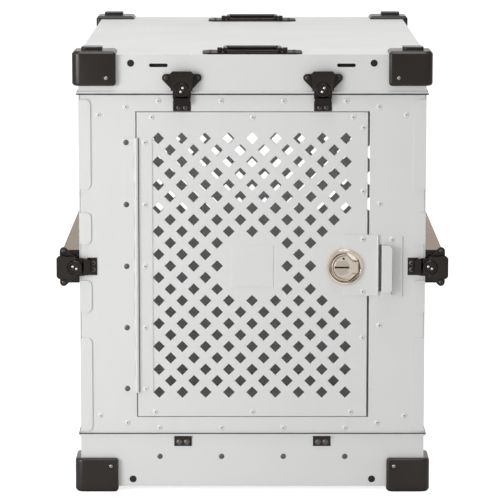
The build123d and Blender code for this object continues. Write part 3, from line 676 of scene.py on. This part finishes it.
def grow(tree, mesh, name, values):
    """Runs a tree on a mesh with values for its inputs and gives the result as a plain mesh."""
    carrier = link(bpy.data.objects.new(name + "_points", mesh))
    modifier = carrier.modifiers.new("grow", "NODES")
    modifier.node_group = tree
    sockets = {item.name: item.identifier for item in tree.interface.items_tree if item.in_out == "INPUT"}
    for label, value in values.items():
        modifier[sockets[label]] = value
    return settled(carrier, name)


def rivet_math(operation, first, second=0.0):
    """The output of one Math node in the rivets' tree."""
    return add(rivets, "ShaderNodeMath", {0: first, 1: second}, operation=operation).outputs[0]


MANDREL_DEPTH, MANDREL_LEVEL = 0.3, 0.95  # as shares of the head's height
rivets = new_tree("rivets_on_points", [("Head radius", "NodeSocketFloat"), ("Head height", "NodeSocketFloat"),
                                       ("Mandrel radius", "NodeSocketFloat"),
                                       ("Head finish", "NodeSocketMaterial"),
                                       ("Mandrel finish", "NodeSocketMaterial")])
given = add(rivets, "NodeGroupInput").outputs
cone = add(rivets, "GeometryNodeMeshCone", {"Vertices": 16, "Side Segments": 5, "Radius Top": 0.0,
                                            "Radius Bottom": given["Head radius"],
                                            "Depth": given["Head height"]})
position = add(rivets, "GeometryNodeInputPosition").outputs[0]
where = add(rivets, "ShaderNodeSeparateXYZ", {0: position}).outputs
squares = rivet_math("ADD", rivet_math("MULTIPLY", where[0], where[0]),
                     rivet_math("MULTIPLY", where[1], where[1]))
share = rivet_math("DIVIDE", rivet_math("SQRT", squares), given["Head radius"])
fall = rivet_math("SUBTRACT", 1.0, rivet_math("POWER", share, 3.0))
rise = rivet_math("MULTIPLY", given["Head height"], fall)
domed = add(rivets, "ShaderNodeCombineXYZ", {0: where[0], 1: where[1], 2: rise}).outputs[0]
head = add(rivets, "GeometryNodeSetPosition", {"Geometry": cone.outputs["Mesh"], "Position": domed})
skinned = add(rivets, "GeometryNodeSetMaterial", {"Geometry": head.outputs[0],
                                                  "Material": given["Head finish"]})
depth = rivet_math("MULTIPLY", given["Head height"], MANDREL_DEPTH)
pin = add(rivets, "GeometryNodeMeshCylinder", {"Vertices": 12, "Radius": given["Mandrel radius"],
                                               "Depth": depth})
level = rivet_math("MULTIPLY", given["Head height"], MANDREL_LEVEL)
lift = add(rivets, "ShaderNodeCombineXYZ", {2: level}).outputs[0]
raised = add(rivets, "GeometryNodeTransform", {"Geometry": pin.outputs["Mesh"], "Translation": lift})
cored = add(rivets, "GeometryNodeSetMaterial", {"Geometry": raised.outputs[0],
                                                "Material": given["Mandrel finish"]})
pair = add(rivets, "GeometryNodeJoinGeometry")
rivets.links.new(skinned.outputs[0], pair.inputs[0])
rivets.links.new(cored.outputs[0], pair.inputs[0])
facing = add(rivets, "GeometryNodeInputNamedAttribute", {"Name": "outward"}, data_type="FLOAT_VECTOR")
turn = add(rivets, "FunctionNodeAlignRotationToVector", {"Vector": facing.outputs[0]}, axis="Z")
spread = add(rivets, "GeometryNodeInstanceOnPoints", {"Points": given["Geometry"],
                                                      "Instance": pair.outputs[0],
                                                      "Rotation": turn.outputs[0]})
real = add(rivets, "GeometryNodeRealizeInstances", {"Geometry": spread.outputs[0]})
add(rivets, "NodeGroupOutput", {"Geometry": real.outputs[0]})
print("rivet tree of", len(rivets.nodes), "nodes")

# %% [markdown]
# The rivets' places follow the crate's seams. Painted ones join the panels. Bright ones hold the caps, each
# in a raised black collar that also paints the shade of the recess round it. Dull steel ones sit in the tray,
# the catch plates and the hinge's frame leaf, because these are set after painting. Hollow steel ones hold
# the latches and keepers, and black ones the handle plates; the holes in the middle of both are painted shade
# in near-black. Each body gets its own cloud, so that its rivets move with it.

# %% Where the rivets go
KEEPER_U, KEEPER_V, KEEPER_W = 31.0, 5.6, 1.2
CATCH_Z, CATCH_HALF, CATCH_THICK = 85.0, 6.3, 1.2
LEAF_Y, COVER_Y, STRIKE_Y = FACE_Y - 1.5, FACE_Y - 2.3, FACE_Y - 2.0  # faces of plates on the front
HANDLE_PLATE = 2.5  # thickness
CAP_SIDE_SHARE = 0.866  # how far out in Y a cap's side rivet sits, as a share of its front face
hinge_levels = [177.3 + 104.5 * i for i in range(5)]
seam_x = (-156.5, -52.2, 52.2, 156.5)
seam_z = (664.5, 110.0)
tray_levels = {"front": 60.0, "back": 22.0}
corners = ((256.5, 641.5), (211.0, 655.0), (256.5, 130.5), (211.0, 118.5))
painted_spots = {"front": [], "back": [], "door": []}
bare_spots = {"crate_base": [], "lid": []}
steel_spots = {"front": [], "crate_base": []}
ring_spots = {"front": [], "back": [], "crate_base": [], "lid": []}
collar_shade_spots = {"crate_base": [], "lid": []}
dark_spots = {"lid": []}
for end, (y, out) in ends.items():
    painted_spots[end] += [((x, y, z), out) for x in seam_x for z in seam_z]
    painted_spots[end] += [((s * x, y, z), out) for s in SIDES for x, z in corners]
    steel_spots["crate_base"] += [((x, y, tray_levels[end]), out) for x in seam_x]
    cap_y = CAP_Y if end == "front" else -CAP_Y
    for sign in SIDES:
        for body, x, z in (("crate_base", 239.5, 45.0), ("lid", 243.0, 703.5)):
            spots = [((sign * x, cap_y, z), out), ((sign * CAP_X, cap_y * CAP_SIDE_SHARE, z), (sign, 0, 0))]
            bare_spots[body] += spots
            collar_shade_spots[body] += spots
painted_spots["front"] += [((213.5, FACE_Y, z), FRONT) for z in (492.0, 285.5)]
painted_spots["front"] += [((234.0, STRIKE_Y, z), FRONT) for z in (339.5, 431.5)]
steel_spots["front"] += [((-210.8, LEAF_Y, z), FRONT) for z in hinge_levels]
painted_spots["door"] += [((x, FACE_Y, 637.5), FRONT) for x in (-168.0, 0.5, 168.0)]
painted_spots["door"] += [((x, FACE_Y, 137.0), FRONT) for x in (-164.0, 0.5, 166.0)]
painted_spots["door"] += [((185.2, FACE_Y, z), FRONT) for z in (620.0, 513.0, 265.0)]
painted_spots["door"] += [((185.2, COVER_Y, z), FRONT) for z in (343.5, 432.5)]
painted_spots["door"] += [((-179.8, LEAF_Y, z), FRONT) for z in hinge_levels]
for y in HANDLE_Y.values():
    dark_spots["lid"] += [((s * 70.0, y + d, LID_TOP + HANDLE_PLATE), UP) for s in SIDES for d in (-20, 20)]


def on_latch(matrix, u, half_v, w):
    """Two spots on a latch, one at each side of its middle line."""
    out = tuple(matrix.to_3x3() @ Vector((0, 0, 1)))
    return [(tuple(matrix @ (Vector((u, v, w)) * MM) / MM), out) for v in (-half_v, half_v)]


for name, matrix in latches.items():
    ring_spots["lid" if name.startswith("lid") else "crate_base"] += on_latch(matrix, EAR_U, EAR_V, PLATE_W)
    ring_spots["front" if "front" in name else "back"] += on_latch(matrix, KEEPER_U, KEEPER_V, KEEPER_W)
for y, out in ends.values():
    plate_y = y + math.copysign(CATCH_THICK, y)
    steel_spots["crate_base"] += [((sign * LATCH_X + d, plate_y, CATCH_Z), out)
                                  for sign in SIDES for d in (-CATCH_HALF, CATCH_HALF)]


def point_cloud(name, spots):
    """A mesh of points, each of which remembers the way it faces."""
    mesh = bpy.data.meshes.new(name)
    mesh.from_pydata([Vector(place) * MM for place, _ in spots], [], [])
    outward = mesh.attributes.new("outward", "FLOAT_VECTOR", "POINT")
    outward.data.foreach_set("vector", [c for _, out in spots for c in out])
    return mesh


# Each row: a name, the spots, the radius and height of the head, the radius of its middle, both finishes
rivet_kinds = [("painted", painted_spots, 5.0, 1.9, 1.2, powder_white, mandrel_steel),
               ("bare", bare_spots, 3.3, 1.5, 0.9, rivet_metal, mandrel_steel),
               ("steel", steel_spots, 4.8, 1.4, 1.3, rivet_steel, rivet_steel),
               # The near-black middles of the ring and dark rivets are painted shade in their holes, and the
               # collars paint the shade of the caps' recesses.
               ("ring", ring_spots, 3.6, 1.2, 1.8, rivet_steel, shade_black),
               ("collar", collar_shade_spots, 5.4, 0.6, 0.5, coated_black, coated_black),
               ("dark", dark_spots, 3.2, 0.9, 0.8, coated_black, shade_black)]
for label, groups, radius, height, dot, skin, core in rivet_kinds:
    for body, spots in groups.items():
        values = {"Head radius": radius * MM, "Head height": height * MM, "Mandrel radius": dot * MM,
                  "Head finish": skin, "Mandrel finish": core}
        name = f"{body}_{label}_rivets"
        piece = grow(rivets, point_cloud(name, spots), name, values)
        smooth(piece.data, 50)
        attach(piece, body)
        print(name, len(spots))

# %% [markdown]
# A piano hinge is one long pin with knuckles on it that belong to its two leaves in turn. A Geometry Nodes
# tree lays one knuckle on every other step of a line. The leaves are thin plates, and each of their knuckles
# has a short tab that ties it to its plate. A thin dark grey strip beside the knuckles is painted shade: the
# shade of the gap there.

# %% Geometry Nodes tree for hinge knuckles
knuckles = new_tree("knuckles_on_a_line", [("Count", "NodeSocketInt"), ("Step", "NodeSocketFloat"),
                                           ("Length", "NodeSocketFloat"), ("Radius", "NodeSocketFloat")])
given = add(knuckles, "NodeGroupInput").outputs
step = add(knuckles, "ShaderNodeCombineXYZ", {2: given["Step"]})
line = add(knuckles, "GeometryNodeMeshLine", {"Count": given["Count"], "Offset": step.outputs[0]})
barrel = add(knuckles, "GeometryNodeMeshCylinder", {"Vertices": 20, "Radius": given["Radius"],
                                                    "Depth": given["Length"]})
row = add(knuckles, "GeometryNodeInstanceOnPoints", {"Points": line.outputs[0],
                                                     "Instance": barrel.outputs["Mesh"]})
real = add(knuckles, "GeometryNodeRealizeInstances", {"Geometry": row.outputs[0]})
shown = add(knuckles, "GeometryNodeSetMaterial", {"Geometry": real.outputs[0], "Material": powder_white})
add(knuckles, "NodeGroupOutput", {"Geometry": shown.outputs[0]})

# %% Piano hinge
PIN_X, PIN_Y, HINGE_LOW, KNUCKLE_STEP, KNUCKLES = -193.95, -433.6, 171.0, 25.4, 17
KNUCKLE_RADIUS, KNUCKLE_GAP = 3.3, 0.4
HINGE_HIGH = HINGE_LOW + KNUCKLES * KNUCKLE_STEP
TAB = 3.9  # from the pin to where the plate of a leaf starts
LEAF_OUT, LEAF_IN = PIN_Y + 2.1, PIN_Y + 3.6  # the two faces of a leaf
shade_line_corners = ((PIN_X + 3.0, PIN_Y + 1.9, HINGE_LOW), (PIN_X + 4.4, PIN_Y + 2.2, HINGE_HIGH))
for own, body, node, width, way in ((0, "front", "door_hinge_frame_leaf", 22.0, -1),
                                    (1, "door", "door_hinge_door_leaf", 26.5, 1)):
    steps = range(own, KNUCKLES, 2)
    values = {"Count": len(steps), "Step": 2 * KNUCKLE_STEP * MM,
              "Length": (KNUCKLE_STEP - KNUCKLE_GAP) * MM, "Radius": KNUCKLE_RADIUS * MM}
    rolled = grow(knuckles, bpy.data.meshes.new("empty"), node + "_knuckles", values)
    start = Vector((PIN_X, PIN_Y, HINGE_LOW + (own + 0.5) * KNUCKLE_STEP)) * MM
    rolled.data.transform(Matrix.Translation(start))
    work = bmesh.new()
    plate_x = sorted((PIN_X + way * TAB, PIN_X + way * width))
    box_work(work, (plate_x[0], LEAF_OUT, HINGE_LOW), (plate_x[1], LEAF_IN, HINGE_HIGH))
    tab_x = sorted((PIN_X, PIN_X + way * TAB))
    for i in steps:
        low = HINGE_LOW + i * KNUCKLE_STEP + KNUCKLE_GAP / 2
        high = HINGE_LOW + (i + 1) * KNUCKLE_STEP - KNUCKLE_GAP / 2
        box_work(work, (tab_x[0], LEAF_OUT, low), (tab_x[1], LEAF_IN, high))
    if body == "door":
        # The dark grey strip beside the door's knuckles is painted shade.
        box_work(work, *shade_line_corners, 1)
    leaf = from_work(work, node + "_finished", materials=[powder_white, shadow_grey])
    leaf = joined(leaf, rolled)
    smooth(leaf.data, 40)
    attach(leaf, body)
    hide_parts(node)

# %% [markdown]
# The slam latch is the one bright thing on the crate: a turned bezel with a dished floor, and in it the
# paddle that one lifts to open the door. The bezel is spun about the Z axis and then laid over, so that it
# faces the viewer. Behind the door, a plain guide holds the bolt.

# %% Lock body
LOCK_X, LOCK_Z = 155.3, 385.0
bezel_profile = [(24.9, -3.2), (25.5, -2.4), (25.6, 1.8), (26.2, 3.6), (27.6, 4.2), (29.2, 4.0), (30.5, 2.6),
                 (31.0, 0.6), (31.0, 0.0), (27.7, 0.0), (27.7, -7.3), (0, -7.3)]
dish_profile = [(0, -1.6), (19.0, -1.8), (22.5, -2.6), (24.9, -3.2)]
guide_corners = ((150.0, -424.6, 374.0), (186.6, -420.7, 396.0))
lay_over = (Matrix.Translation(Vector((LOCK_X, COVER_Y, LOCK_Z)) * MM)
            @ Matrix.Rotation(math.radians(90), 4, "X"))
work = bmesh.new()
turned(work, bezel_profile, steps=64)
turned(work, dish_profile, steps=64)
bezel = from_work(work, "lock_body_finished", [lay_over], [nickel_bright])
work = bmesh.new()
box_work(work, *guide_corners)
guide = from_work(work, "lock_guide", materials=[nickel_satin])
bezel = joined(bezel, guide)
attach(bezel, "door")
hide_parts("lock_body")

# %% [markdown]
# The paddle is a disc with flattened shoulders and a thumb tab, over a dark shadow plate that is a little
# larger. A fine ridge runs round it, and inside it a groove, drawn as a near-black line of painted shade; two
# more such lines of painted shade mark off the tab as grooves, and the tab ends in a turned-up lip. The key
# plug in it has a key slot between two ridges, drawn as a near-black strip of painted shade. Both are drawn
# flat, looking at the door, and laid over like the bezel.

# %% Paddle
PADDLE_R, PADDLE_LOW, PADDLE_TOP = 22.6, 0.0, 3.6
SHOULDER, TAB_HALF, TAB_REACH, TAB_TAPER = (10.5, 12.5), 11.0, 24.2, 9.0
SHADOW, RIDGE, RING_GROOVE = 1.045, 0.94, 0.87  # outlines as shares of the paddle's own
ROOT = 0.2  # how deep every raised line starts under the face that it lies on
FLUSH = 0.05  # how far a line of painted shade stands above it
CROSS_FLUSH = 0.06  # the same where it has to cover another line


def ridge(work, points, half_width, low, high, finish_index=0):
    """A narrow raised line along a path of (x, y) pairs in mm. Its pieces overlap by 0.1 mm at each end."""
    for a, b in zip(points, points[1:]):
        along = (Vector(b) - Vector(a)).normalized()
        across = Vector((-along.y, along.x)) * half_width
        start, end = Vector(a) - along * 0.1, Vector(b) + along * 0.1
        quad = [start - across, end - across, end + across, start + across]
        plate(work, [tuple(p) for p in quad], low, high, finish_index)


def scaled(points, share):
    """The same outline, larger or smaller."""
    return [(x * share, y * share) for x, y in points]


arc = [(PADDLE_R * math.cos(math.radians(a)), PADDLE_R * math.sin(math.radians(a)))
       for a in range(84, 277, 6)]
shoulders = [(SHOULDER[0], -SHOULDER[1]), (TAB_REACH - TAB_TAPER, -TAB_HALF), (TAB_REACH, -TAB_HALF + 1.0),
             (TAB_REACH, TAB_HALF - 1.0), (TAB_REACH - TAB_TAPER, TAB_HALF), SHOULDER]
face, groove = PADDLE_TOP - ROOT, PADDLE_TOP + FLUSH
work = bmesh.new()
plate(work, scaled(arc + shoulders, SHADOW), PADDLE_LOW - 0.3, PADDLE_LOW + 0.6, 1)
plate(work, arc + shoulders, PADDLE_LOW, PADDLE_TOP)
base = from_work(work, "paddle_base", [lay_over], [nickel_dull, shade_black])
base = rounded(base, "lock_paddle_finished", 0.5)
work = bmesh.new()
ridge(work, scaled(arc, RIDGE), 0.6, face, PADDLE_TOP + 0.8)
ridge(work, scaled(arc, RING_GROOVE), 0.45, face, groove, 1)
box_work(work, (19.8, -9.0, face), (22.4, 9.0, PADDLE_TOP + 1.4))
box_work(work, (22.5, -9.6, face), (23.7, 9.6, groove), 1)
for y in (-9.8, 9.8):
    box_work(work, (11.5, y - 0.45, face), (23.7, y + 0.45, groove), 1)
# A near-black dot paints the shade of a small hole in the paddle.
turned(work, rod(2.0, PADDLE_TOP + CROSS_FLUSH, face), (-2.4, 14.7, 0), 16, 1)
paddle = joined(base, from_work(work, "paddle_lines", [lay_over], [nickel_bright, shade_black]))
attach(paddle, "paddle")
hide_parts("lock_paddle")

# %% Key plug
PLUG_X, PLUG_R, PLUG_FACE_R, PLUG_TOP = -5.5, 13.0, 12.2, 4.2
LINE_HALF = 11.2  # half the length of the two ridges beside the slot
# The first line is the key slot, a near-black strip of painted shade.
plug_lines = [(PLUG_FACE_R, -1.6, 1.6, CROSS_FLUSH, 1), (LINE_HALF, 1.8, 3.4, 0.8, 2),
              (LINE_HALF, -3.2, -1.8, 0.5, 2)]  # half length, lower and upper edge, height, finish
work = bmesh.new()
turned(work, [(0, PLUG_TOP), (PLUG_FACE_R, PLUG_TOP), (PLUG_R, PLUG_TOP - 0.6), (PLUG_R, PADDLE_LOW),
              (0, PADDLE_LOW)], (PLUG_X, 0, 0), 48)
for half, low, high, height, finish_index in plug_lines:
    box_work(work, (PLUG_X - half, low, PLUG_TOP - ROOT), (PLUG_X + half, high, PLUG_TOP + height),
             finish_index)
plug = from_work(work, "lock_plug_finished", [lay_over], [nickel_satin, shade_black, nickel_bright])
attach(plug, "key_plug")
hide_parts("lock_plug")

# %% [markdown]
# The handles on the lid are flat bails of round bar that turn on two pins. A curve with a bevel depth is the
# natural way to draw a bent bar. It is turned into a mesh before it gets its place.

# %% Handle grips
BAR_RADIUS, PIN_RADIUS, BEND = 3.9, 2.4, 7.0
GRIP_HALF, GRIP_DEEP = 46.0, 38.0  # half its width, and from the pins to the far bar
PIVOT_BACK, PIVOT_UP = -17.0, 6.9  # the pins, from the middle of the handle plate and the lid's sheet
PIN_FROM, PIN_TO = 45.0, 58.4
STUB = 2.8  # how far the arms reach past the pins


def bar_along(points, radius_mm, name):
    """A round bar along a path in mm, as a mesh."""
    curve = bpy.data.curves.new(name, "CURVE")
    curve.dimensions, curve.bevel_depth, curve.bevel_resolution = "3D", radius_mm * MM, 5
    curve.use_fill_caps = True
    spline = curve.splines.new("POLY")
    spline.points.add(len(points) - 1)
    for point, place in zip(spline.points, points):
        point.co = [c * MM for c in place] + [1.0]
    holder = link(bpy.data.objects.new(name, curve))
    return settled(holder, name)


def bent(x, y, z, radius, start, steps=6):
    """Points of a quarter bend in a flat bail."""
    return [(x + radius * math.cos(math.radians(start - 90 * i / steps)),
             y + radius * math.sin(math.radians(start - 90 * i / steps)), z) for i in range(steps + 1)]


for end, handle_y in HANDLE_Y.items():
    node = f"{end}_handle_grip"
    pivot_y, pivot_z = handle_y + PIVOT_BACK, LID_TOP + PIVOT_UP
    bend_y = pivot_y + GRIP_DEEP - BEND
    path = [(-GRIP_HALF, pivot_y - STUB, pivot_z)]
    path += bent(-GRIP_HALF + BEND, bend_y, pivot_z, BEND, 180)
    path += bent(GRIP_HALF - BEND, bend_y, pivot_z, BEND, 90)
    path += [(GRIP_HALF, pivot_y - STUB, pivot_z)]
    bail = bar_along(path, BAR_RADIUS, node + "_finished")
    for sign in SIDES:
        pin_ends = [(sign * x, pivot_y, pivot_z) for x in (PIN_FROM, PIN_TO)]
        bail = joined(bail, bar_along(pin_ends, PIN_RADIUS, node + "_pin"))
    bail.data.materials.clear()
    bail.data.materials.append(nylon_black)
    smooth(bail.data, 50)
    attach(bail, f"{end}_grip")
    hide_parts(node)
